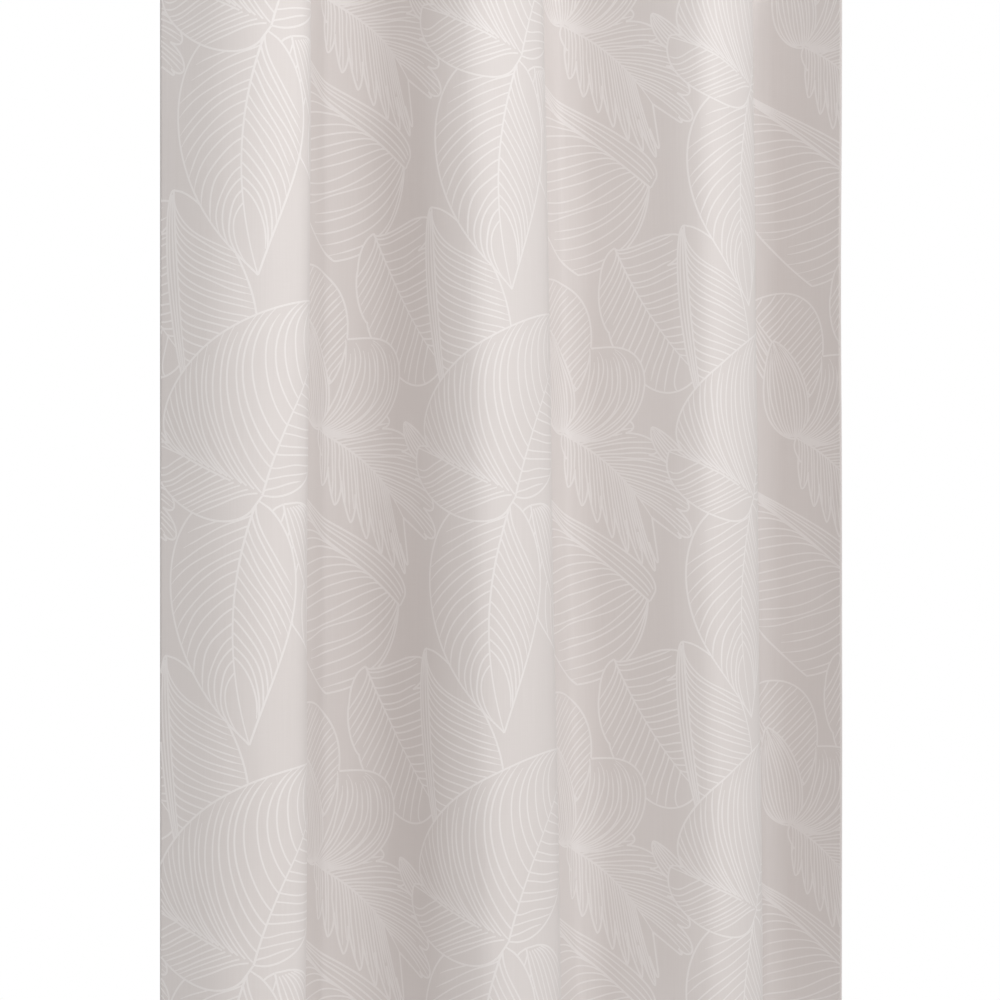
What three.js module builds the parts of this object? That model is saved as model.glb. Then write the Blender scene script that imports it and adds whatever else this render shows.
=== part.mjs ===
import * as THREE from 'three';

// A cut length of curtain cloth, hanging in deep soft folds. Millimetres, +Z up.
// X runs along the hanging cloth from its left side edge to its right one, and its front faces -Y.
// The origin is at the middle of the top edge, half way through the depth of the folds.

// The cloth from its top edge to its bottom edge, and its thickness.
const DROP = 860;
const THICKNESS = 1.2;

// The left side edge seen from above, and the way the cloth sets off from it,
// in degrees from +X towards +Y, which is away from the front.
const LEFT_EDGE = { x: -299, y: 3, heading: -66 };

// The folds seen from above, from the left side edge to the right one, as stretches of even curve.
// run is the cloth in a stretch at mid height, and turn is its change of heading in degrees.
// drift is what the run gains by the bottom edge and loses by the top one, so the folds lean.
const FOLDS = [
  { fold: 1, part: 'face', run: 34, turn: 6, drift: -3 },
  { fold: 1, part: 'shoulder', run: 38, turn: 30, drift: 0 },
  { fold: 1, part: 'crest', run: 28, turn: 34, drift: 0 },
  { fold: 1, part: 'edge', run: 24, turn: 62, drift: 0 },
  { fold: 2, part: 'wall', run: 43, turn: 6, drift: -5 },
  { fold: 2, part: 'inset', run: 52, turn: -34, drift: 6 },
  { fold: 2, part: 'strip', run: 28, turn: -6, drift: 0 },
  { fold: 2, part: 'crease', run: 9, turn: -54, drift: 0 },
  { fold: 2, part: 'hollow', run: 50, turn: -52, drift: 5 },
  { fold: 2, part: 'face', run: 32, turn: -6, drift: 0 },
  { fold: 2, part: 'shoulder', run: 40, turn: 26, drift: 5 },
  { fold: 2, part: 'crest', run: 24, turn: 46, drift: 0 },
  { fold: 2, part: 'brow', run: 46, turn: 36, drift: 0 },
  { fold: 2, part: 'edge', run: 14, turn: 26, drift: 0 },
  { fold: 3, part: 'wall', run: 49, turn: 16, drift: -3 },
  { fold: 3, part: 'inset', run: 38, turn: -38, drift: -9 },
  { fold: 3, part: 'strip', run: 28, turn: -8, drift: 7 },
  { fold: 3, part: 'crease', run: 10, turn: -56, drift: 0 },
  { fold: 3, part: 'hollow', run: 20, turn: -24, drift: 0 },
  { fold: 3, part: 'face', run: 60, turn: -6, drift: -7 },
  { fold: 3, part: 'shoulder', run: 24, turn: 14, drift: 0 },
  { fold: 3, part: 'crest', run: 20, turn: 50, drift: 0 },
  { fold: 3, part: 'brow', run: 40, turn: 28, drift: 0 },
  { fold: 3, part: 'edge', run: 14, turn: 24, drift: 0 },
  { fold: 4, part: 'wall', run: 48, turn: 14, drift: 0 },
  { fold: 4, part: 'inset', run: 42, turn: -36, drift: 3 },
  { fold: 4, part: 'strip', run: 20, turn: -5, drift: 9 },
  { fold: 4, part: 'crease', run: 10, turn: -60, drift: 0 },
  { fold: 4, part: 'hollow', run: 16, turn: -32, drift: 0 },
  { fold: 4, part: 'face', run: 54, turn: -10, drift: -8 },
];

// How finely the cloth is divided: the longest run and the sharpest turn between two stations,
// and the number of steps from the top edge to the bottom one.
const LONGEST_RUN = 9;
const SHARPEST_TURN = 9;
const HEIGHT_STEPS = 8;

// The plan of the folds at one level, from -1 at the top edge to 1 at the bottom edge.
function planAt(level) {
  let { x, y } = LEFT_EDGE;
  let heading = THREE.MathUtils.degToRad(LEFT_EDGE.heading);
  const stations = [{ x, y, heading }];
  for (const { run, turn, drift } of FOLDS) {
    const steps = Math.ceil(Math.max(run / LONGEST_RUN, Math.abs(turn) / SHARPEST_TURN));
    const length = (run + drift * level) / steps;
    const bend = THREE.MathUtils.degToRad(turn) / steps;
    for (let step = 0; step < steps; step += 1) {
      x += length * Math.cos(heading + bend / 2);
      y += length * Math.sin(heading + bend / 2);
      heading += bend;
      stations.push({ x, y, heading });
    }
  }
  return stations;
}

// One face of the cloth as rows of points, offset from its middle along the plan's own normal.
function sheetPoints(offset) {
  const points = [];
  for (let row = 0; row <= HEIGHT_STEPS; row += 1) {
    const down = row / HEIGHT_STEPS;
    for (const { x, y, heading } of planAt(2 * down - 1)) {
      points.push(x - offset * Math.sin(heading), y + offset * Math.cos(heading), -DROP * down);
    }
  }
  return points;
}

// Two sheets of points joined round their rim, so that the cloth is one closed body.
function clothGeometry() {
  const columns = planAt(0).length;
  const rows = HEIGHT_STEPS + 1;
  const front = (row, column) => row * columns + column;
  const back = (row, column) => rows * columns + front(row, column);
  const triangles = [];
  const quad = (a, b, c, d) => triangles.push(a, b, c, a, c, d);

  for (let row = 0; row < rows - 1; row += 1) {
    for (let column = 0; column < columns - 1; column += 1) {
      const right = column + 1;
      quad(front(row, column), front(row + 1, column), front(row + 1, right), front(row, right));
      quad(back(row, right), back(row + 1, right), back(row + 1, column), back(row, column));
    }
  }
  const last = { row: rows - 1, column: columns - 1 };
  for (let column = 0; column < last.column; column += 1) {
    const right = column + 1;
    quad(front(0, column), front(0, right), back(0, right), back(0, column));
    quad(front(last.row, right), front(last.row, column), back(last.row, column), back(last.row, right));
  }
  for (let row = 0; row < last.row; row += 1) {
    const below = row + 1;
    quad(back(row, 0), back(below, 0), front(below, 0), front(row, 0));
    quad(
      front(row, last.column),
      front(below, last.column),
      back(below, last.column),
      back(row, last.column),
    );
  }

  const points = [...sheetPoints(-THICKNESS / 2), ...sheetPoints(THICKNESS / 2)];
  const geometry = new THREE.BufferGeometry();
  geometry.setAttribute('position', new THREE.Float32BufferAttribute(points, 3));
  geometry.setIndex(triangles);
  geometry.computeVertexNormals();
  return geometry;
}

function makeCloth() {
  const material = new THREE.MeshStandardMaterial({ color: 0xd6cdca, roughness: 0.72, metalness: 0 });
  const cloth = new THREE.Mesh(clothGeometry(), material);
  cloth.name = 'cloth';
  return cloth;
}

const curtain = new THREE.Group();
curtain.add(makeCloth());

export default curtain;
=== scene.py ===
"""A cut length of pale curtain cloth with a line print of tropical leaves, hanging in deep soft folds.

Sizes are in millimetres and degrees where a name or a table says so, and in metres on every mesh.
The cloth is a sheet laid along the plan of its folds, and the print is drawn on the flat cloth and
then carried round the same folds.
"""

from __future__ import annotations

import logging
import math
from dataclasses import dataclass, field
from enum import Enum
from typing import Sequence, Union

import bmesh
import bpy
import numpy as np
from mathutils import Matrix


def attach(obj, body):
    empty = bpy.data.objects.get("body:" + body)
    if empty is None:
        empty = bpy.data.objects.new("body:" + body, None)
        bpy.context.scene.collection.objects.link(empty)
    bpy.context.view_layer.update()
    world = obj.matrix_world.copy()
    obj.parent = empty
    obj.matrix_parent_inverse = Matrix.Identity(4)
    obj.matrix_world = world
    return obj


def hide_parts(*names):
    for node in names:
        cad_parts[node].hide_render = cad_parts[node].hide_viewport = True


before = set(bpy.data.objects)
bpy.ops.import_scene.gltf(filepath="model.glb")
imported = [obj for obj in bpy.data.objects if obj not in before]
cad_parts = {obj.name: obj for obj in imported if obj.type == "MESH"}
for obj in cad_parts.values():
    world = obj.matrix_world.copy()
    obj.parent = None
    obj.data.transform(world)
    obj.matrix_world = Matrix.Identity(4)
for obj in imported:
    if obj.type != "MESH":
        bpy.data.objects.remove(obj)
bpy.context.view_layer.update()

LOG = logging.getLogger("curtain")
BODY = "root"
CLOTH_NODE = "cloth"
FLAT_MAP = "flat"
BAKE_MAP = "OFBake"
MM = 0.001
# The least length and the least share that are told apart from nothing.
LEAST_LENGTH = 1e-9
LEAST_SHARE = 1e-6

Numbers = np.ndarray
Amount = Union[float, np.ndarray]
Colour = tuple[float, float, float]


def joined(*parts: Numbers) -> Numbers:
    """Columns of numbers side by side."""
    return np.stack(parts, axis=-1)


def running(steps: Sequence[float]) -> Numbers:
    """The running total of steps, with 0 before the first."""
    return np.concatenate([[0], np.cumsum(steps)])


def between(first: Amount, last: Amount, share: Amount) -> Amount:
    """Values a share of the way from the first to the last."""
    return first + (last - first) * share


# The hanging shape


@dataclass(frozen=True)
class Stretch:
    """A stretch of even curve in the plan of the folds, from the left side edge to the right one.

    run is its cloth in mm at mid height, and turn its change of heading in degrees. drift is what the
    run gains in mm by the bottom edge and loses by the top one.
    """

    fold: int
    part: str
    run: float
    turn: float
    drift: float


FOLDS = (
    # fold, part, run, turn, drift
    Stretch(1, "face", 34, 6, -3),
    Stretch(1, "shoulder", 38, 30, 0),
    Stretch(1, "crest", 28, 34, 0),
    Stretch(1, "edge", 24, 62, 0),
    Stretch(2, "wall", 43, 6, -5),
    Stretch(2, "inset", 52, -34, 6),
    Stretch(2, "strip", 28, -6, 0),
    Stretch(2, "crease", 9, -54, 0),
    Stretch(2, "hollow", 50, -52, 5),
    Stretch(2, "face", 32, -6, 0),
    Stretch(2, "shoulder", 40, 26, 5),
    Stretch(2, "crest", 24, 46, 0),
    Stretch(2, "brow", 46, 36, 0),
    Stretch(2, "edge", 14, 26, 0),
    Stretch(3, "wall", 49, 16, -3),
    Stretch(3, "inset", 38, -38, -9),
    Stretch(3, "strip", 28, -8, 7),
    Stretch(3, "crease", 10, -56, 0),
    Stretch(3, "hollow", 20, -24, 0),
    Stretch(3, "face", 60, -6, -7),
    Stretch(3, "shoulder", 24, 14, 0),
    Stretch(3, "crest", 20, 50, 0),
    Stretch(3, "brow", 40, 28, 0),
    Stretch(3, "edge", 14, 24, 0),
    Stretch(4, "wall", 48, 14, 0),
    Stretch(4, "inset", 42, -36, 3),
    Stretch(4, "strip", 20, -5, 9),
    Stretch(4, "crease", 10, -60, 0),
    Stretch(4, "hollow", 16, -32, 0),
    Stretch(4, "face", 54, -10, -8),
)


@dataclass(frozen=True)
class Ripple:
    """A faint wave in the cloth.

    turn is in degrees, across and down are its lengths in mm, and start is a share of one wave.
    """

    turn: float
    across: float
    down: float
    start: float


RIPPLES = (
    # turn, across, down, start
    Ripple(0.9, 74, 610, 0.10),
    Ripple(0.7, 118, -430, 0.55),
    Ripple(0.5, 47, 260, 0.80),
)


@dataclass
class Folds:
    """The hanging shape of the cloth, which turns places on the flat cloth into places in the folds.

    A place on the flat cloth is its distance across from the left side edge and its drop below the top
    edge, in mm. The plan of the folds is worked out at a number of levels and read between them. Its
    turns are softened over a bell curve of softness mm, cut off at `softened` times that, and last_cell
    keeps a place on the far edges inside the last cell that is read.
    """

    stretches: Sequence[Stretch] = FOLDS
    ripples: Sequence[Ripple] = RIPPLES
    drop: float = 860.0
    left_x: float = -299.0
    left_y: float = 3.0
    left_heading: float = -66.0
    step: float = 0.5
    softness: float = 2.4
    softened: float = 3.0
    levels: int = 41
    last_cell: float = 1.001
    places: Numbers = field(init=False)

    def __post_init__(self) -> None:
        """Works out the plan at every level."""
        self.places = np.stack([self.plan(level) for level in np.linspace(-1, 1, self.levels)])

    def ends(self, level: float) -> Numbers:
        """Where the stretches end across the flat cloth at a level, which is -1 at the top edge."""
        return running([stretch.run + stretch.drift * level for stretch in self.stretches])

    @property
    def width(self) -> float:
        """The width of the flat cloth."""
        return float(self.ends(0.0)[-1])

    @property
    def steps(self) -> Numbers:
        """The places across the flat cloth where the plan is worked out."""
        return np.arange(0.0, self.width + self.step / 2, self.step)

    def headings(self) -> Numbers:
        """The heading of the plan at the ends of the stretches, in radians."""
        turns = [self.left_heading] + [stretch.turn for stretch in self.stretches]
        return np.radians(np.cumsum(turns))

    def plan(self, level: float) -> Numbers:
        """The plan of the folds at one level.

        Args:
            level: from -1 at the top edge to 1 at the bottom one.

        Returns:
            Rows of x, y and heading, one for every step across the flat cloth.
        """
        across = self.steps
        reach = int(self.softened * self.softness / self.step)
        spread = np.exp(-0.5 * (np.arange(-reach, reach + 1) * self.step / self.softness) ** 2)
        margin = np.arange(1, reach + 1) * self.step
        wide = np.concatenate([-margin[::-1], across, self.width + margin])
        bare = np.interp(wide, self.ends(level), self.headings())
        heading = np.convolve(bare, spread / spread.sum(), mode="valid")
        below = (level + 1) / 2 * self.drop
        for ripple in self.ripples:
            wave = np.sin(math.tau * (across / ripple.across + below / ripple.down + ripple.start))
            heading = heading + math.radians(ripple.turn) * wave
        middle = (heading[1:] + heading[:-1]) / 2
        x = self.left_x + self.step * running(np.cos(middle))
        y = self.left_y + self.step * running(np.sin(middle))
        return joined(x, y, heading)

    def read(self, across: Numbers, below: Numbers) -> Numbers:
        """The plan at places on the flat cloth, read between steps and levels.

        Args:
            across: distances from the left side edge, in mm.
            below: drops below the top edge, in mm.

        Returns:
            Rows of x, y and heading.
        """
        column = np.clip(across / self.step, 0, self.places.shape[1] - self.last_cell)
        row = np.clip(below / self.drop * (self.levels - 1), 0, self.levels - self.last_cell)
        left, top = column.astype(int), row.astype(int)
        right, low = (column - left)[..., None], (row - top)[..., None]
        upper = self.places[top, left] * (1 - right) + self.places[top, left + 1] * right
        lower = self.places[top + 1, left] * (1 - right) + self.places[top + 1, left + 1] * right
        return upper * (1 - low) + lower * low

    def hang(self, across: Numbers, below: Numbers, proud: Amount = 0.0) -> Numbers:
        """Places in the folds for places on the flat cloth.

        Args:
            across: distances from the left side edge, in mm.
            below: drops below the top edge, in mm.
            proud: how far in front of the middle of the cloth each place lies, in mm.

        Returns:
            Rows of x, y and z in metres.
        """
        x, y, heading = np.moveaxis(self.read(across, below), -1, 0)
        return joined(x + proud * np.sin(heading), y - proud * np.cos(heading), -below) * MM

    def front(self, across: Numbers, below: Numbers) -> Numbers:
        """The way that the front of the cloth faces at places on the flat cloth, as unit vectors."""
        heading = self.read(across, below)[..., 2]
        return joined(np.sin(heading), -np.cos(heading), np.zeros_like(heading))

    def columns(self, longest: float, sharpest: float) -> Numbers:
        """Stations across the cloth at mid height, closer together where it turns.

        Args:
            longest: the longest step across in mm.
            sharpest: the sharpest turn between two stations in degrees.

        Returns:
            The stations, in mm from the left side edge.
        """
        heading = self.places[self.levels // 2, :, 2]
        turn = np.degrees(np.abs(np.diff(heading))) / sharpest
        effort = running(turn + self.step / longest)
        count = math.ceil(effort[-1])
        return np.interp(np.linspace(0, effort[-1], count + 1), effort, self.steps)

    def leaned(self, across: Numbers, below: Numbers) -> Numbers:
        """Follows the folds up and down from mid height.

        Args:
            across: stations across the cloth at mid height, in mm.
            below: the drops that are wanted, in mm.

        Returns:
            Where the stations lie across the flat cloth at those drops.
        """
        level = 2 * below / self.drop - 1
        middle = self.ends(0.0)
        drift = self.ends(1.0) - middle
        return across + np.interp(across, middle, drift) * level


# Shader maths and nodes


class Value:
    """A socket in shader maths, whose operators add Math nodes."""

    def __init__(self, nodes: Nodes, socket: bpy.types.NodeSocket) -> None:
        """Keeps the socket and the tree that it is in."""
        self.nodes = nodes
        self.socket = socket

    def __add__(self, other: Input) -> Value:
        """The sum of two values."""
        return self.nodes.maths("ADD", self, other)

    def __sub__(self, other: Input) -> Value:
        """The difference of two values."""
        return self.nodes.maths("SUBTRACT", self, other)

    def __rsub__(self, other: Input) -> Value:
        """The difference of a number and a value."""
        return self.nodes.maths("SUBTRACT", other, self)

    def __mul__(self, other: Input) -> Value:
        """The product of two values."""
        return self.nodes.maths("MULTIPLY", self, other)

    __radd__ = __add__
    __rmul__ = __mul__


Input = Union[Value, bpy.types.NodeSocket, float, Sequence[float]]
Owner = Union[bpy.types.Material, bpy.types.World]

# The radians that a Wave texture turns through on one metre for each unit of its scale.
WAVE_TURN = 20
# The middle of what a noise gives.
MIDDLE = 0.5


@dataclass(frozen=True)
class Grain:
    """A noise on the flat cloth: its marks to the metre across and down, and its detail.

    share is how much it counts in the shade of the surface, and turn is its slant in degrees.
    """

    across: float
    down: float
    detail: float
    share: float
    turn: float = 0.0


# The shader and the output that close the tree of a material and of a world.
CLOSINGS = {
    bpy.types.Material: ("ShaderNodeBsdfPrincipled", "ShaderNodeOutputMaterial"),
    bpy.types.World: ("ShaderNodeBackground", "ShaderNodeOutputWorld"),
}


class Nodes:
    """The node tree of one material or world."""

    def __init__(self, owner: Owner) -> None:
        """Empties the owner's tree.

        Args:
            owner: the material or the world.
        """
        owner.use_nodes = True
        self.owner = owner
        self.tree = owner.node_tree
        self.tree.nodes.clear()

    def add(self, kind: str, settings: dict[str, object], sockets: dict[str, Input]) -> bpy.types.Node:
        """Adds one node.

        Args:
            kind: the node's type.
            settings: its properties, which are set first.
            sockets: values or links for its inputs, by name or identifier.

        Returns:
            The new node.
        """
        node = self.tree.nodes.new(kind)
        for key, setting in settings.items():
            setattr(node, key, setting)
        for key, given in sockets.items():
            socket = next(s for s in node.inputs if key in (s.identifier, s.name) and s.enabled)
            source = given.socket if isinstance(given, Value) else given
            if isinstance(source, bpy.types.NodeSocket):
                self.tree.links.new(source, socket)
            else:
                socket.default_value = source
        return node

    def maths(self, operation: str, first: Input, second: Input) -> Value:
        """Adds one Math node.

        Args:
            operation: the node's operation.
            first: its first value.
            second: its second value.

        Returns:
            The value that it gives.
        """
        node = self.add("ShaderNodeMath", {"operation": operation}, {})
        for socket, given in zip(node.inputs, (first, second)):
            if isinstance(given, Value):
                self.tree.links.new(given.socket, socket)
            else:
                socket.default_value = given
        return Value(self, node.outputs[0])

    def flat_place(self, scale: Sequence[float], turn: float = 0.0) -> bpy.types.NodeSocket:
        """A pattern's coordinates on the flat cloth.

        Args:
            scale: how many units of the pattern one metre of cloth takes, across and down.
            turn: how far the pattern is turned, in degrees.

        Returns:
            The socket that holds the coordinates.
        """
        flat = self.add("ShaderNodeUVMap", {"uv_map": FLAT_MAP}, {})
        mapping = {"Vector": flat.outputs["UV"], "Scale": scale, "Rotation": (0, 0, math.radians(turn))}
        return self.add("ShaderNodeMapping", {}, mapping).outputs["Vector"]

    def noise(self, grain: Grain) -> Value:
        """Adds noise on the flat cloth.

        Args:
            grain: its marks.

        Returns:
            The noise, from 0 to 1.
        """
        place = self.flat_place((grain.across, grain.down, 1), grain.turn)
        sockets = {"Vector": place, "Scale": 1.0, "Detail": grain.detail, "Roughness": 0.5}
        node = self.add("ShaderNodeTexNoise", {"noise_dimensions": "2D"}, sockets)
        return Value(self, node.outputs["Fac"])

    def threads(self, spacing: float, along: str, sway: float) -> Value:
        """Threads of a weave as soft ridges, from 0 to 1.

        Args:
            spacing: the distance from thread to thread in mm.
            along: the axis that the ridges follow one after another, X across or Y down the cloth.
            sway: how far the threads wander.

        Returns:
            The height of the threads.
        """
        settings = {"wave_type": "BANDS", "bands_direction": along, "wave_profile": "SIN"}
        sockets = {
            "Vector": self.flat_place((1, 1, 1)),
            "Scale": 1 / (spacing * MM) / WAVE_TURN * math.tau,
            "Distortion": sway,
            "Detail": 1.0,
            "Detail Scale": 0.06,
        }
        node = self.add("ShaderNodeTexWave", settings, sockets)
        return Value(self, node.outputs["Fac"])

    def blend(self, share: Input, first: Input, second: Input) -> bpy.types.NodeSocket:
        """Mixes two colours.

        Args:
            share: the share of the second one.
            first: the first colour.
            second: the second one.

        Returns:
            The socket that holds the mix.
        """
        sockets = {"Factor_Float": share, "A_Color": first, "B_Color": second}
        node = self.add("ShaderNodeMix", {"data_type": "RGBA"}, sockets)
        return next(s for s in node.outputs if s.identifier == "Result_Color")

    def finish(self, sockets: dict[str, Input]) -> Owner:
        """Closes the tree.

        Args:
            sockets: values or links for the shader.

        Returns:
            The material or the world.
        """
        shader, output = CLOSINGS[type(self.owner)]
        self.add(output, {}, {"Surface": self.add(shader, {}, sockets).outputs[0]})
        return self.owner


def opaque(colour: Colour) -> tuple[float, float, float, float]:
    """A colour with full alpha."""
    return (*colour, 1.0)


@dataclass(frozen=True)
class ClothFinish:
    """Smooth woven face cloth in a pale warm greige, with a faint satin sheen and upright streaks.

    warp, weft and weave_depth are in mm. sway is how far the threads wander, and the three heights are
    the shares of the weave's depth that the threads and the streaks have.
    """

    colour: Colour = (0.585, 0.540, 0.520)
    light: Colour = (0.615, 0.573, 0.556)
    streaks: Grain = Grain(900, 16, 3.0, 0.9)
    slubs: Grain = Grain(60, 1500, 2.0, 0.5)
    clouds: Grain = Grain(9, 5, 2.0, 0.7, turn=20)
    warp: float = 0.42
    weft: float = 0.55
    sway: float = 0.6
    warp_height: float = 0.5
    weft_height: float = 0.35
    streak_height: float = 0.6
    weave_depth: float = 0.05
    weave_strength: float = 0.5
    roughness: float = 0.62
    unevenness: float = 0.12
    gloss: float = 0.4
    sheen: float = 0.12
    sheen_roughness: float = 0.45

    def material(self) -> bpy.types.Material:
        """Draws the weave, its slubs and its streaks.

        Returns:
            The material.
        """
        nodes = Nodes(bpy.data.materials.new("curtain cloth"))
        streaks = nodes.noise(self.streaks)
        shade = MIDDLE + (streaks - MIDDLE) * self.streaks.share
        for grain in (self.slubs, self.clouds):
            shade = shade + (nodes.noise(grain) - MIDDLE) * grain.share
        warp = nodes.threads(self.warp, "X", self.sway) * self.warp_height
        weft = nodes.threads(self.weft, "Y", self.sway) * self.weft_height
        weave = {
            "Height": warp + weft + streaks * self.streak_height,
            "Strength": self.weave_strength,
            "Distance": self.weave_depth * MM,
        }
        return nodes.finish(
            {
                "Base Color": nodes.blend(shade, opaque(self.colour), opaque(self.light)),
                "Roughness": self.roughness + (streaks - MIDDLE) * self.unevenness,
                "Sheen Weight": self.sheen,
                "Sheen Roughness": self.sheen_roughness,
                "Specular IOR Level": self.gloss,
                "Normal": nodes.add("ShaderNodeBump", {}, weave).outputs["Normal"],
            }
        )


@dataclass(frozen=True)
class PrintFinish:
    """The printed line: soft off-white, a little glossier than the cloth, thinner over its threads."""

    colour: Colour = (0.695, 0.660, 0.645)
    thin: Colour = (0.652, 0.615, 0.598)
    threads: Grain = Grain(700, 260, 2.0, 0.7)
    clouds: Grain = Grain(40, 30, 1.0, 0.5)
    roughness: float = 0.5
    unevenness: float = 0.12
    gloss: float = 0.45
    sheen: float = 0.05

    def material(self) -> bpy.types.Material:
        """Varies the cover of the print along and across the threads.

        Returns:
            The material.
        """
        nodes = Nodes(bpy.data.materials.new("leaf print"))
        threads = nodes.noise(self.threads) * self.threads.share
        cover = threads + nodes.noise(self.clouds) * self.clouds.share
        return nodes.finish(
            {
                "Base Color": nodes.blend(cover, opaque(self.thin), opaque(self.colour)),
                "Roughness": self.roughness + (1 - cover) * self.unevenness,
                "Specular IOR Level": self.gloss,
                "Sheen Weight": self.sheen,
            }
        )


@dataclass(frozen=True)
class FloorFinish:
    """Plain pale floor, matt, with a very slight unevenness."""

    colour: Colour = (0.80, 0.80, 0.80)
    shade: Colour = (0.78, 0.78, 0.78)
    roughness: float = 0.8
    gloss: float = 0.2

    def material(self) -> bpy.types.Material:
        """Lays a faint cloud on the floor's own place.

        Returns:
            The material.
        """
        nodes = Nodes(bpy.data.materials.new("pale floor"))
        place = nodes.add("ShaderNodeTexCoord", {}, {})
        sockets = {"Vector": place.outputs["Object"], "Scale": 3.0, "Detail": 2.0}
        cloud = nodes.add("ShaderNodeTexNoise", {}, sockets)
        colour = nodes.blend(cloud.outputs["Fac"], opaque(self.colour), opaque(self.shade))
        sockets = {"Base Color": colour, "Roughness": self.roughness, "Specular IOR Level": self.gloss}
        return nodes.finish(sockets)


# The face cloth


def put_in_scene(name: str, mesh: bpy.types.Mesh) -> bpy.types.Object:
    """Makes an object of a mesh and links it to the scene.

    Args:
        name: the object's name.
        mesh: its mesh.

    Returns:
        The object.
    """
    piece = bpy.data.objects.new(name, mesh)
    bpy.context.scene.collection.objects.link(piece)
    return piece


def lay_flat(mesh: bpy.types.Mesh, across: Numbers, below: Numbers, drop: float) -> None:
    """Gives a mesh its places on the flat cloth as UV maps, in metres from the lower left corner.

    Args:
        mesh: the mesh.
        across: each vertex's distance from the left side edge in mm.
        below: each vertex's drop below the top edge in mm.
        drop: the drop of the whole cloth in mm.
    """
    corners = np.empty(len(mesh.loops), np.int32)
    mesh.loops.foreach_get("vertex_index", corners)
    flat = (joined(across, drop - below) * MM)[corners].astype(np.float32)
    for name in (FLAT_MAP, BAKE_MAP):
        layer = mesh.uv_layers.new(name=name, do_init=False)
        layer.uv.foreach_set("vector", flat.ravel())


@dataclass
class FaceCloth:
    """The width of curtain cloth: one thin sheet on the folds, with plain cut edges all round."""

    folds: Folds
    finish: ClothFinish = ClothFinish()
    thickness: float = 1.2
    longest: float = 2.4
    sharpest: float = 5.0
    rows: int = 72
    name: str = "curtain_cloth"

    def build(self) -> bpy.types.Object:
        """Lays a fine grid along the folds and gives it its thickness.

        Returns:
            The cloth.
        """
        stations = self.folds.columns(self.longest, self.sharpest)
        sheet = bmesh.new()
        bmesh.ops.create_grid(sheet, x_segments=len(stations) - 1, y_segments=self.rows, size=0.5)
        share = np.array([vertex.co for vertex in sheet.verts])[:, :2] + 0.5
        middle = np.interp(share[:, 0], np.linspace(0, 1, len(stations)), stations)
        below = (1 - share[:, 1]) * self.folds.drop
        across = self.folds.leaned(middle, below)
        for vertex, place in zip(sheet.verts, self.folds.hang(across, below)):
            vertex.co = place
        mesh = bpy.data.meshes.new(self.name)
        sheet.to_mesh(mesh)
        sheet.free()
        mesh.shade_smooth()
        lay_flat(mesh, across, below, self.folds.drop)
        cloth = put_in_scene(self.name, mesh)
        body = cloth.modifiers.new("thickness", "SOLIDIFY")
        body.thickness = self.thickness * MM
        body.offset = 0.0
        return cloth

    def dress(self, cloth: bpy.types.Object) -> None:
        """Gives the cloth its finish and its body, and hides the CAD part that it stands for.

        Args:
            cloth: the cloth as built.
        """
        cloth.data.materials.append(self.finish.material())
        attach(cloth, BODY)
        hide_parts(CLOTH_NODE)


# The leaf print


class Veins(Enum):
    """Which way the veins of a half leaf run."""

    SIDE = "out from the rib to the outline"
    LONG = "along the rib from the base to the tip"


class Line(Enum):
    """The kinds of printed line."""

    OUTLINE = "outline"
    RIB = "rib"
    VEIN = "vein"


LINE_WIDTHS = {Line.OUTLINE: 1.45, Line.RIB: 1.6, Line.VEIN: 1.2}


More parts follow.
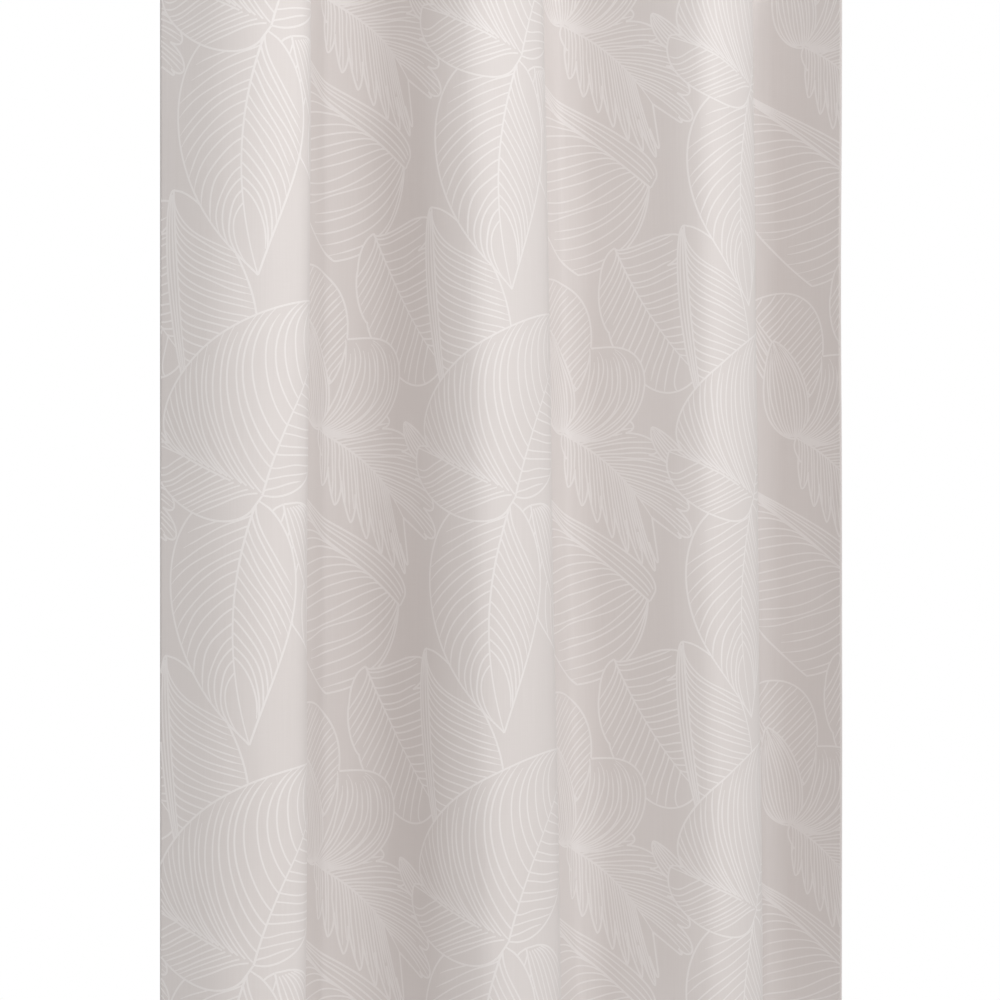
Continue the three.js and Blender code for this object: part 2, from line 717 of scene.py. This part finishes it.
@dataclass(frozen=True)
class Half:
    """The half of a leaf on one side of its rib.

    Places on it are a share of the way along the rib and a share of the way out to the full outline.
    width is how far it reaches in mm, and base and tip say how bluntly it closes at its two ends. A
    vein leaves the rib at up to `leave` of its length, lands on the outline from `land` on, and runs
    along the rib late rather than early where `curl` is over 1, from the first vein to the last. fan
    leans the veins towards the tip, in degrees, at the base and at the tip. gather draws the veins'
    roots together towards the base, and rise draws their ends towards the tip. ledge starts the first
    veins along the base edge instead of the rib, and first_root is the least share of the rib below a
    root. lobes and notch cut the outline, with sharper lobes as `blunt` nears 1 and `roundness` rises,
    and hemmed lets the outline follow the first vein.
    """

    width: float = 0.0
    veins: int = 0
    base: float = 0.6
    tip: float = 1.0
    leave: float = 0.85
    land: float = 0.15
    curl: tuple[float, float] = (1.3, 1.3)
    fan: tuple[float, float] = (0.0, 0.0)
    gather: float = 1.1
    rise: float = 1.0
    ledge: float = 0.0
    lobes: int = 0
    notch: float = 0.0
    blunt: float = 2.0
    roundness: float = 0.6
    hemmed: bool = False
    style: Veins = Veins.SIDE
    first_root: float = 0.01

    def reach(self, along: Numbers) -> Numbers:
        """How far the full outline lies from the rib.

        Args:
            along: shares of the way along the rib.

        Returns:
            Distances in mm.
        """
        along = np.clip(along, LEAST_SHARE, 1 - LEAST_SHARE)
        fullest = self.base / (self.base + self.tip)
        swell = (along / fullest) ** self.base
        return self.width * swell * ((1 - along) / (1 - fullest)) ** self.tip

    def vein(self, order: Amount, share: Numbers) -> tuple[Numbers, Numbers]:
        """Places on a vein.

        Args:
            order: the vein's order, from 0 at the base to 1 at the tip.
            share: how far along the vein each place is.

        Returns:
            Shares of the way along the rib and out to the outline.
        """
        root = self.leave * order**self.gather
        if self.ledge:
            root = order * (self.leave + self.ledge) - self.ledge
        start, out = np.maximum(root, self.first_root), np.maximum(-root, 0.0)
        end = between(self.land, 1, order**self.rise)
        curl = between(*self.curl, np.sqrt(order))
        return between(start, end, share**curl), between(out, 1, share)

    def kept(self, order: Numbers) -> Numbers:
        """How much of each vein the notches between the lobes leave.

        Args:
            order: the veins' order, from 0 at the base to 1 at the tip.

        Returns:
            Shares of the veins' length.
        """
        if not self.lobes:
            return np.ones_like(order)
        aside = np.abs(2 * np.mod(self.lobes * order, 1.0) - 1)
        return 1 - self.notch * (1 - (1 - aside**self.blunt) ** self.roundness)


@dataclass(frozen=True)
class Stroke:
    """A printed line on the flat print: its places in mm and its width in mm at each of them."""

    kind: Line
    path: Numbers
    width: Numbers

    def even(self, step: float) -> Stroke:
        """Spaces the stroke's places evenly.

        Args:
            step: how far apart they come, in mm.

        Returns:
            The new stroke.
        """
        lengths = np.hypot(*np.diff(self.path, axis=0).T)
        run = running(lengths)
        return self.at(np.linspace(0, run[-1], max(int(run[-1] / step), 2) + 1), run)

    def at(self, wanted: Numbers, measure: Numbers) -> Stroke:
        """The stroke at wanted places only.

        Args:
            wanted: the places, on a measure that grows along the stroke.
            measure: that measure at each place that the stroke has now.

        Returns:
            The new stroke.
        """
        path = joined(*(np.interp(wanted, measure, column) for column in self.path.T))
        return Stroke(self.kind, path, np.interp(wanted, measure, self.width))

    def laid(self, shift: Numbers, drop: float) -> Stroke:
        """The stroke moved on the flat print, and measured down from the cloth's top edge."""
        across, up = (self.path + shift).T
        return Stroke(self.kind, joined(across, drop - up), self.width)

    def shown(self, seen: Numbers, fewest: int) -> list[Stroke]:
        """The unbroken runs of the stroke's places that are seen.

        Args:
            seen: whether each place is seen.
            fewest: the fewest places that a run needs.

        Returns:
            A stroke for each run.
        """
        changes = np.flatnonzero(np.diff(seen)) + 1
        runs = np.split(np.arange(len(seen)), changes)
        kept = [run for run in runs if seen[run[0]] and len(run) >= fewest]
        return [Stroke(self.kind, self.path[run], self.width[run]) for run in kept]


@dataclass(frozen=True)
class Pen:
    """How the lines of a leaf are drawn, with the small unevenness of a hand-drawn vein.

    A vein strays from its place by a share of the space between veins. It begins at `first` where it
    runs along the rib, meets the outline in `closed` of all cases and otherwise ends within `stop`.
    drift, sway and swing are how far it wavers. rib_tip and vein_tip are the share of its width that a
    line ends with, and narrowing is one over the part of a vein that narrows. A lobed outline follows
    its last vein up to `closing`.
    """

    stray: float = 0.16
    closed: float = 0.7
    stop: tuple[float, float] = (0.84, 0.97)
    first: float = 0.02
    drift: float = 0.06
    sway: float = 0.007
    swing: float = 0.02
    rib_tip: float = 0.6
    vein_tip: float = 0.45
    narrowing: float = 8.0
    weight: tuple[float, float] = (0.9, 1.12)
    closing: float = 0.97
    rib_steps: int = 80
    vein_steps: int = 48
    side_steps: int = 200
    lobed_steps: int = 400
    edge_steps: int = 40
    base_steps: int = 24
    closing_steps: int = 20


@dataclass(frozen=True)
class Leaf:
    """A leaf in outline, with its rib and veins.

    base and tip are the ends of its rib in mm on the print's repeat, across and up. bow is how far the
    rib bows to the left of the line between them. In its methods, hand is 1 for the left of the rib and
    -1 for the right.
    """

    name: str
    base: tuple[float, float]
    tip: tuple[float, float]
    bow: float
    left: Half = Half()
    right: Half = Half()
    seed: int = 1
    pen: Pen = Pen()

    def axis(self) -> tuple[Numbers, Numbers, float]:
        """Measures the straight line under the rib.

        Returns:
            Its direction, the direction to its left and its length in mm.
        """
        run = np.subtract(self.tip, self.base).astype(float)
        length = float(np.hypot(*run))
        along = run / length
        return along, np.array([-along[1], along[0]]), length

    def rib(self, share: Numbers) -> Numbers:
        """Places along the rib.

        Args:
            share: shares of the way along it.

        Returns:
            Rows of places in mm.
        """
        along, across, length = self.axis()
        share = np.asarray(share, float)[:, None]
        straight = np.array(self.base) + along * length * share
        return straight + across * self.bow * 4 * share * (1 - share)

    def place(self, half: Half, hand: int, share: Numbers, out: Numbers) -> Numbers:
        """Places on a half of the leaf.

        Args:
            half: the half.
            hand: its side.
            share: shares of the way along the rib.
            out: shares of the way out to the full outline.

        Returns:
            Rows of places in mm.
        """
        along, across, length = self.axis()
        share = np.clip(share, 0, 1)
        bend = np.arctan(4 * self.bow * (1 - 2 * share) / length)
        lean = np.radians(between(*half.fan, share))
        angle = (bend + hand * (math.pi / 2 - lean))[:, None]
        way = np.cos(angle) * along + np.sin(angle) * across
        return self.rib(share) + way * (half.reach(share) * out)[:, None]

    def outline(self, half: Half, hand: int) -> Numbers:
        """The outline of a half.

        Args:
            half: the half.
            hand: its side.

        Returns:
            Rows of places in mm, from the base round to the tip.
        """
        pen = self.pen
        if not half.width:
            return self.rib(np.linspace(0, 1, pen.edge_steps))
        order = (1 - np.cos(np.linspace(0, math.pi, pen.side_steps))) / 2
        if half.lobes:
            order = np.linspace(0, 1, pen.lobed_steps)
        kept = half.kept(order)
        share, out = half.vein(order, kept)
        if half.hemmed:
            start, full = half.vein(0.0, np.linspace(0, kept[0], pen.edge_steps))
        else:
            start = np.linspace(0, half.land, pen.base_steps, endpoint=False)
            full = np.full(len(start), kept[0])
        first = self.place(half, hand, start, full)
        body = self.place(half, hand, share, out)
        if not half.lobes:
            return np.vstack([first, body])
        last = half.vein(1.0, np.linspace(kept[-1], pen.closing, pen.closing_steps))
        return np.vstack([first, body, self.place(half, hand, *last), self.rib([1.0])])

    def mask(self) -> Numbers:
        """The closed outline of the whole leaf."""
        return np.vstack([self.outline(self.left, 1), self.outline(self.right, -1)[::-1]])

    def vein(self, half: Half, hand: int, number: int, draw: np.random.Generator) -> Numbers:
        """One vein of a half.

        Args:
            half: the half.
            hand: its side.
            number: the vein's number from the base, or outwards from the rib where veins run along it.
            draw: gives the vein its unevenness.

        Returns:
            Rows of places in mm.
        """
        pen = self.pen
        share = np.linspace(0, 1, pen.vein_steps)
        stray = draw.uniform(-pen.stray, pen.stray)
        sway, swing = draw.uniform(-1, 1, 2)
        phase = draw.uniform(0, math.tau)
        ends_short = draw.random() > pen.closed
        stop = draw.uniform(*pen.stop)
        wave = np.sin(math.tau * share + phase) * np.sin(math.pi * share)
        if half.style is Veins.LONG:
            out = (number + 1) / (half.veins + 1) + pen.drift * sway * wave
            return self.place(half, hand, between(pen.first, stop, share), out)
        order = (number + 0.5 + stray) / half.veins
        reach = float(half.kept(np.array([order]))[0]) * (stop if ends_short else 1.0)
        along, out = half.vein(order, share * reach)
        return self.place(half, hand, along + pen.sway * sway * wave, out + pen.swing * swing * wave)

    def strokes(self) -> list[Stroke]:
        """Draws the leaf as if nothing covered it.

        Returns:
            Its rib, and the outline and the veins of each half.
        """
        pen = self.pen
        draw = np.random.default_rng(self.seed)
        taper = np.linspace(1.0, pen.rib_tip, pen.rib_steps)
        rib = self.rib(np.linspace(0, 1, pen.rib_steps))
        strokes = [Stroke(Line.RIB, rib, taper * LINE_WIDTHS[Line.RIB])]
        for half, hand in ((self.left, 1), (self.right, -1)):
            if not half.width:
                continue
            outline = self.outline(half, hand)
            even = np.full(len(outline), LINE_WIDTHS[Line.OUTLINE])
            strokes.append(Stroke(Line.OUTLINE, outline, even))
            for number in range(half.veins):
                vein = self.vein(half, hand, number, draw)
                weight = LINE_WIDTHS[Line.VEIN] * draw.uniform(*pen.weight)
                ends = np.clip(pen.narrowing * np.linspace(1, 0, len(vein)), pen.vein_tip, 1)
                strokes.append(Stroke(Line.VEIN, vein, weight * ends))
        return strokes


# The leaves of one repeat, from the back of the print to its front. A half starts with its width,
# veins, base, tip, leave, land, curl and fan.
LEAVES = (
    Leaf(
        "small leaf at the back", (96, 330), (176, 205), -14,
        Half(36, 6, 0.4, 0.9, style=Veins.LONG),
        Half(26, 9, 0.5, 0.9, 0.8, 0.2, (1.2, 1.2)),
        seed=11,
    ),
    Leaf(
        "wedge leaf", (317, 256), (165, 368), -3,
        Half(
            103, 20, 0.16, 0.5, 0.58, 0.3, (2.0, 0.2), (-40, 0),
            gather=1.7, rise=0.85, hemmed=True,
        ),
        Half(18, 3, 0.3, 1.7, style=Veins.LONG),
        seed=12,
    ),
    Leaf(
        "cut leaf", (286, 211), (354, 110), -6,
        Half(
            56, 16, 0.12, 0.55, 0.84, 0.14, (0.65, 0.7), (-8, 0),
            gather=1.0, lobes=4, notch=0.42, hemmed=True,
        ),
        Half(40, 17, 0.55, 0.35, 0.85, 0.16, (0.8, 0.9), lobes=3, notch=0.06),
        seed=13,
    ),
    Leaf(
        "frond", (240, 67), (314, 1), 7,
        Half(
            46, 22, 0.3, 0.14, 0.84, 0.2, (0.8, 0.85), (0, 68),
            gather=1.0, lobes=5, notch=0.28, hemmed=True,
        ),
        Half(
            52, 24, 0.4, 0.14, 0.76, 0.12, (0.75, 0.85), (0, 66),
            gather=1.0, lobes=7, notch=0.45, blunt=1.3,
        ),
        seed=14,
    ),
    Leaf(
        "leaf behind the hub", (253, 101), (196, 176), 0,
        Half(24, 5, 0.5, 0.8, style=Veins.LONG),
        Half(46, 18, 0.75, 0.55, 0.94, 0.06, (1.0, 1.0), gather=1.0),
        seed=16,
    ),
    Leaf(
        "upright leaf", (239, 66), (219, 147), -5,
        Half(24, 6, 0.5, 0.8, style=Veins.LONG),
        Half(15, 4, 0.5, 0.7, style=Veins.LONG),
        seed=21,
    ),
    Leaf(
        "round leaf", (240, 67), (264, 133), -8,
        right=Half(47, 11, 0.5, 0.3, fan=(12, 0), style=Veins.LONG),
        seed=15,
    ),
    Leaf(
        "leaf behind the fan", (344, 226), (357, 80), -2,
        Half(56, 19, 0.62, 0.33, 0.9, 0.3, (0.62, 0.62), gather=1.0),
        Half(8, 2, 0.5, 0.8, style=Veins.LONG),
        seed=17,
    ),
    Leaf(
        "long leaf", (78, 333), (72, 166), -14,
        Half(43, 13, 0.6, 1.0, 0.68, 0.32, (1.1, 1.2)),
        Half(51, 15, 0.5, 1.1, 0.74, 0.2, (1.05, 1.2)),
        seed=18,
    ),
    Leaf(
        "small leaf below the fan", (6, 42), (-20, 71), 2,
        Half(8, 2, 0.5, 0.7, style=Veins.LONG),
        Half(8, 2, 0.5, 0.7, style=Veins.LONG),
        seed=22,
    ),
    Leaf(
        "lower half of the fan leaf", (75, 16), (-6, 52), -2,
        Half(33, 11, 0.35, 0.42, 0.74, 0.4, (1.0, 1.0), gather=1.0),
        Half(7, 4, 0.4, 0.5, 0.9, 0.45, (0.9, 0.9), gather=1.0),
        seed=19,
    ),
    Leaf(
        "fan leaf", (75, 16), (150, 146), 10,
        Half(89, 23, 0.12, 0.72, 0.72, 0.04, (1.3, 1.3), (10, 0), ledge=0.9),
        Half(42, 17, 0.5, 0.6, 0.9, 0.12, (1.3, 1.3), gather=1.0),
        seed=20,
    ),
)


def boxed(places: Numbers, low: Sequence[float], high: Sequence[float]) -> Numbers:
    """Which places lie between two corners."""
    return ((places > low) & (places < high)).all(axis=1)


def inside(places: Numbers, outline: Numbers) -> Numbers:
    """Which places lie inside a closed outline.

    Args:
        places: rows of places.
        outline: the outline's places in their order.

    Returns:
        Whether each place does.
    """
    x, y = places[:, :1], places[:, 1:]
    start, end = outline, np.roll(outline, -1, axis=0)
    spans = (start[:, 1] > y) != (end[:, 1] > y)
    rise = end[:, 1] - start[:, 1]
    rise = np.where(rise == 0, 1, rise)
    crossing = start[:, 0] + (end[:, 0] - start[:, 0]) * (y - start[:, 1]) / rise
    return (spans & (x < crossing)).sum(axis=1) % 2 == 1


@dataclass(frozen=True)
class Repeat:
    """The print's repeat in mm. Each row down sets off a little to the left of the one above it.

    fineness is the step along the lines, and edge is how far they end from the edges of the cloth.
    beyond is how many repeats are tried past each edge, and least_shown and least_cut are the fewest
    places of a line that is kept, cut by a leaf or by an edge.
    """

    across: float = 335.0
    down: float = 320.0
    slant: float = 0.020
    start_across: float = -3.5
    start_up: float = 95.0
    fineness: float = 0.8
    edge: float = 0.8
    beyond: int = 2
    least_shown: int = 4
    least_cut: int = 3
    leaves: Sequence[Leaf] = LEAVES

    def shift(self, column: int, row: int) -> Numbers:
        """How far a copy of the repeat is moved, across and up."""
        return np.array([column * self.across + row * self.down * self.slant, row * self.down])

    def cover(self) -> list[list[Numbers]]:
        """Finds what covers each leaf, with the leaves of the repeats all round.

        Returns:
            For each leaf, the outlines that lie over it.
        """
        masks = [leaf.mask() for leaf in self.leaves]
        shifts = [self.shift(column, row) for column in (-1, 0, 1) for row in (-1, 0, 1)]
        return [
            [mask + shift for mask in masks[number + 1:] for shift in shifts]
            for number in range(len(masks))
        ]

    def strokes(self) -> list[Stroke]:
        """Cuts the lines of one repeat where another leaf lies over them.

        Returns:
            The lines that show.
        """
        shown = []
        for leaf, covers in zip(self.leaves, self.cover()):
            strokes = [stroke.even(self.fineness) for stroke in leaf.strokes()]
            places = np.vstack([stroke.path for stroke in strokes])
            hidden = np.zeros(len(places), bool)
            for cover in covers:
                near = boxed(places, cover.min(axis=0), cover.max(axis=0)) & ~hidden
                hidden[near] = inside(places[near], cover)
            first = 0
            for stroke in strokes:
                last = first + len(stroke.path)
                shown += stroke.shown(~hidden[first:last], self.least_shown)
                first = last
        return shown

    def cover_cloth(self, width: float, drop: float) -> list[Stroke]:
        """The lines of the whole cloth, with their places across and below its top edge.

        Args:
            width: the cloth's flat width in mm.
            drop: its drop in mm.

        Returns:
            The strokes, cut at the edges of the cloth.
        """
        low, high = (self.edge, self.edge), (width - self.edge, drop - self.edge)
        cell = self.strokes()
        cut = []
        for column in range(-self.beyond, int(width / self.across) + self.beyond):
            for row in range(-self.beyond, int(drop / self.down) + self.beyond):
                shift = self.shift(column, row) + (self.start_across, self.start_up)
                for stroke in cell:
                    laid = stroke.laid(shift, drop)
                    on = boxed(laid.path, low, high)
                    if on.any():
                        cut += laid.shown(on, self.least_cut)
        return cut


@dataclass(frozen=True)
class PrintPart:
    """A piece of the print: its kinds of line, and the shares of the cloth's width it lies between."""

    name: str
    kinds: tuple[Line, ...]
    span: tuple[float, float] = (0.0, 1.0)

    def holds(self, stroke: Stroke, width: float) -> bool:
        """Whether a stroke belongs to the piece."""
        middle = float(stroke.path[:, 0].mean()) / width
        return stroke.kind in self.kinds and self.span[0] <= middle < self.span[1]


@dataclass
class LeafPrint:
    """The print as thin lines on the front of the cloth, carried round its folds.

    Each line is a low three-sided strip whose two edges are sunk in the cloth and whose ridge stands
    a little proud of it, so that it is closed and shows on the front only. A face counts as seen from
    the front where the cosine between them is over `seen`.
    """

    folds: Folds
    face: float
    repeat: Repeat = Repeat()
    finish: PrintFinish = PrintFinish()
    proud: float = 0.12
    sunk: float = 0.06
    longest: float = 4.5
    sharpest: float = 7.0
    seen: float = 0.05
    parts: Sequence[PrintPart] = (
        PrintPart("leaf_outlines", (Line.OUTLINE, Line.RIB)),
        PrintPart("leaf_veins_left", (Line.VEIN,), (0.0, 0.5)),
        PrintPart("leaf_veins_right", (Line.VEIN,), (0.5, 1.0)),
    )

    def thinned(self, stroke: Stroke) -> Stroke:
        """Keeps only the places that a stroke needs to follow the folds and its own curve.

        Args:
            stroke: the stroke, with its places across and below the top edge.

        Returns:
            The new stroke.
        """
        places = self.folds.hang(stroke.path[:, 0], stroke.path[:, 1])
        steps = np.diff(places, axis=0) / MM
        lengths = np.linalg.norm(steps, axis=1)
        ways = steps / np.maximum(lengths, LEAST_LENGTH)[:, None]
        turns = np.degrees(np.arccos(np.clip((ways[1:] * ways[:-1]).sum(axis=1), -1, 1)))
        total = running(lengths / self.longest + np.concatenate([[0], turns]) / self.sharpest)
        return stroke.at(np.linspace(0, total[-1], max(math.ceil(total[-1]), 1) + 1), total)

    def strip(self, stroke: Stroke) -> tuple[Numbers, Numbers, Numbers]:
        """One line as a closed strip.

        Args:
            stroke: the line, thinned.

        Returns:
            Its vertices on the flat cloth with how far proud they stand, its faces of four corners, and
            its two end faces.
        """
        ways = np.gradient(stroke.path, axis=0)
        ways = ways / np.maximum(np.linalg.norm(ways, axis=1), LEAST_LENGTH)[:, None]
        aside = joined(-ways[:, 1], ways[:, 0])
        half = stroke.width[:, None] / 2 * (1 + self.sunk / self.proud)
        low = np.full(len(half), self.face - self.sunk)
        high = np.full(len(half), self.face + self.proud)
        rows = np.stack(
            [
                np.column_stack([stroke.path + aside * half, low]),
                np.column_stack([stroke.path, high]),
                np.column_stack([stroke.path - aside * half, low]),
            ],
            axis=1,
        )
        number = np.arange(len(half) - 1)[:, None] * 3
        sides = np.array([[0, 3, 4, 1], [1, 4, 5, 2], [2, 5, 3, 0]])
        faces = (number[:, :, None] + sides[None]).reshape(-1, 4)
        last = 3 * (len(half) - 1)
        ends = np.array([[0, 1, 2], [last, last + 2, last + 1]])
        return rows.reshape(-1, 3), faces, ends

    def build(self) -> list[bpy.types.Object]:
        """Draws the print on the flat cloth and carries it round the folds.

        Returns:
            The pieces of the print.
        """
        strokes = self.repeat.cover_cloth(self.folds.width, self.folds.drop)
        pieces = []
        for part in self.parts:
            mine = [stroke for stroke in strokes if part.holds(stroke, self.folds.width)]
            pieces.append(self.join(part.name, [self.strip(self.thinned(stroke)) for stroke in mine]))
        return pieces

    def join(self, name: str, strips: list[tuple[Numbers, Numbers, Numbers]]) -> bpy.types.Object:
        """Joins strips into one piece.

        Args:
            name: the piece's name.
            strips: vertices, faces and end faces of each strip.

        Returns:
            The piece.
        """
        starts = running([len(rows) for rows, _, _ in strips])
        flat = np.vstack([rows for rows, _, _ in strips])
        quads = np.vstack([faces + start for (_, faces, _), start in zip(strips, starts)])
        ends = np.vstack([end + start for (_, _, end), start in zip(strips, starts)])
        across, below, proud = flat.T
        mesh = bpy.data.meshes.new(name)
        mesh.vertices.add(len(flat))
        mesh.vertices.foreach_set("co", self.folds.hang(across, below, proud).ravel())
        corners = np.concatenate([quads.ravel(), ends.ravel()])
        mesh.loops.add(len(corners))
        mesh.loops.foreach_set("vertex_index", corners)
        sizes = np.concatenate([np.full(len(quads), 4), np.full(len(ends), 3)])
        mesh.polygons.add(len(sizes))
        mesh.polygons.foreach_set("loop_start", running(sizes[:-1]))
        mesh.update(calc_edges=True)
        mesh.validate()
        mesh.shade_smooth()
        lay_flat(mesh, across, below, self.folds.drop)
        self.face_front(mesh, sizes, self.folds.front(across, below)[corners])
        return put_in_scene(name, mesh)

    def face_front(self, mesh: bpy.types.Mesh, sizes: Numbers, front: Numbers) -> None:
        """Shades what is seen from the front like the cloth's front, so that no line has a dark side.

        Args:
            mesh: the joined strips.
            sizes: how many corners each face has.
            front: the way that the cloth's front faces at each corner.
        """
        facing = np.zeros(3 * len(sizes))
        mesh.polygons.foreach_get("normal", facing)
        own = np.repeat(facing.reshape(-1, 3), sizes, axis=0)
        hidden = (own * front).sum(axis=1) < self.seen
        mesh.normals_split_custom_set(np.where(hidden[:, None], own, front))

    def dress(self, pieces: list[bpy.types.Object]) -> None:
        """Gives the print its finish and its body.

        Args:
            pieces: the pieces of the print as built.
        """
        material = self.finish.material()
        for piece in pieces:
            piece.data.materials.append(material)
            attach(piece, BODY)


# The studio


@dataclass(frozen=True)
class SoftLight:
    """A large square light aimed at the middle of the cloth: place and size in m, and power in W."""

    name: str
    place: tuple[float, float, float]
    power: float
    size: float = 1.3
    aim: tuple[float, float, float] = (0.0, 0.0, -0.43)

    def hang(self) -> None:
        """Hangs the light and turns it to the cloth."""
        lamp = bpy.data.lights.new(self.name, "AREA")
        lamp.shape = "SQUARE"
        lamp.size = self.size
        lamp.energy = self.power
        light = bpy.data.objects.new(self.name, lamp)
        light.location = self.place
        way = np.subtract(self.aim, self.place)
        away = math.hypot(way[0], way[1])
        light.rotation_euler = (math.atan2(away, -way[2]), 0, math.atan2(-way[0], way[1]))
        bpy.context.scene.collection.objects.link(light)


@dataclass(frozen=True)
class Studio:
    """A plain pale floor, a white surround, two large soft lights and the camera.

    The surround's strength goes from `surround` to `behind` while the direction's share of +Y, behind
    the cloth, goes from the first number of brightens to the second. horizon is the line of the
    picture that the camera's height falls on, and picture is the number of its lines.
    """

    floor_below: float = 1.25
    floor_radius: float = 1.7
    floor_sides: int = 96
    surround: float = 0.53
    behind: float = 1.0
    brightens: tuple[float, float] = (0.2, 0.6)
    lights: Sequence[SoftLight] = (
        SoftLight("soft light on the left", (-0.8, -1.6, 0.3), 16.4),
        SoftLight("soft light on the right", (1.0, -2.0, 1.3), 31.0),
    )
    camera_place: tuple[float, float, float] = (-1.1079, -1.615, -0.445)
    camera_turn: float = -34.0
    lens: float = 93.6
    horizon: float = 519.0
    picture: float = 1000.0

    def lay_floor(self) -> None:
        """Lays a round floor below the cloth."""
        disc = bmesh.new()
        radius, sides = self.floor_radius, self.floor_sides
        bmesh.ops.create_circle(disc, cap_ends=True, segments=sides, radius=radius)
        bmesh.ops.translate(disc, verts=disc.verts, vec=(0, 0, -self.floor_below))
        mesh = bpy.data.meshes.new("floor")
        disc.to_mesh(mesh)
        disc.free()
        mesh.materials.append(FloorFinish().material())
        put_in_scene("floor", mesh)

    def light(self) -> None:
        """Sets the surround, which brightens towards the back of the cloth, and hangs the lights."""
        nodes = Nodes(bpy.data.worlds.new("surround"))
        way = nodes.add("ShaderNodeTexCoord", {}, {})
        parts = nodes.add("ShaderNodeSeparateXYZ", {}, {"Vector": way.outputs["Generated"]})
        spread = {
            "Value": parts.outputs["Y"],
            "From Min": self.brightens[0],
            "From Max": self.brightens[1],
            "To Min": self.surround,
            "To Max": self.behind,
        }
        strength = nodes.add("ShaderNodeMapRange", {}, spread).outputs["Result"]
        bpy.context.scene.world = nodes.finish({"Color": opaque((1, 1, 1)), "Strength": strength})
        for light in self.lights:
            light.hang()

    def place_camera(self) -> None:
        """Places a level camera to the left of the cloth."""
        camera = bpy.data.cameras.new("camera")
        camera.lens = self.lens
        camera.shift_y = (self.horizon - self.picture / 2) / self.picture
        holder = bpy.data.objects.new("camera", camera)
        holder.location = self.camera_place
        holder.rotation_euler = (math.radians(90), 0, math.radians(self.camera_turn))
        bpy.context.scene.collection.objects.link(holder)
        bpy.context.scene.camera = holder
        bpy.context.scene.view_settings.view_transform = "Standard"


def report(piece: bpy.types.Object) -> None:
    """Logs a piece with its faces as triangles.

    Args:
        piece: the piece.
    """
    mesh = piece.evaluated_get(bpy.context.evaluated_depsgraph_get()).data
    mesh.calc_loop_triangles()
    LOG.info("%s: %d triangles", piece.name, len(mesh.loop_triangles))


def main() -> None:
    """Builds the cloth, its print and the studio."""
    logging.basicConfig(level=logging.INFO, format="%(name)s: %(message)s")
    studio = Studio()
    studio.place_camera()
    studio.light()
    studio.lay_floor()
    folds = Folds()
    face_cloth = FaceCloth(folds)
    cloth = face_cloth.build()
    face_cloth.dress(cloth)
    report(cloth)
    leaf_print = LeafPrint(folds, face_cloth.thickness / 2)
    lines = leaf_print.build()
    leaf_print.dress(lines)
    for piece in lines:
        report(piece)
    folds.width * MM


if __name__ == "__main__":
    main()
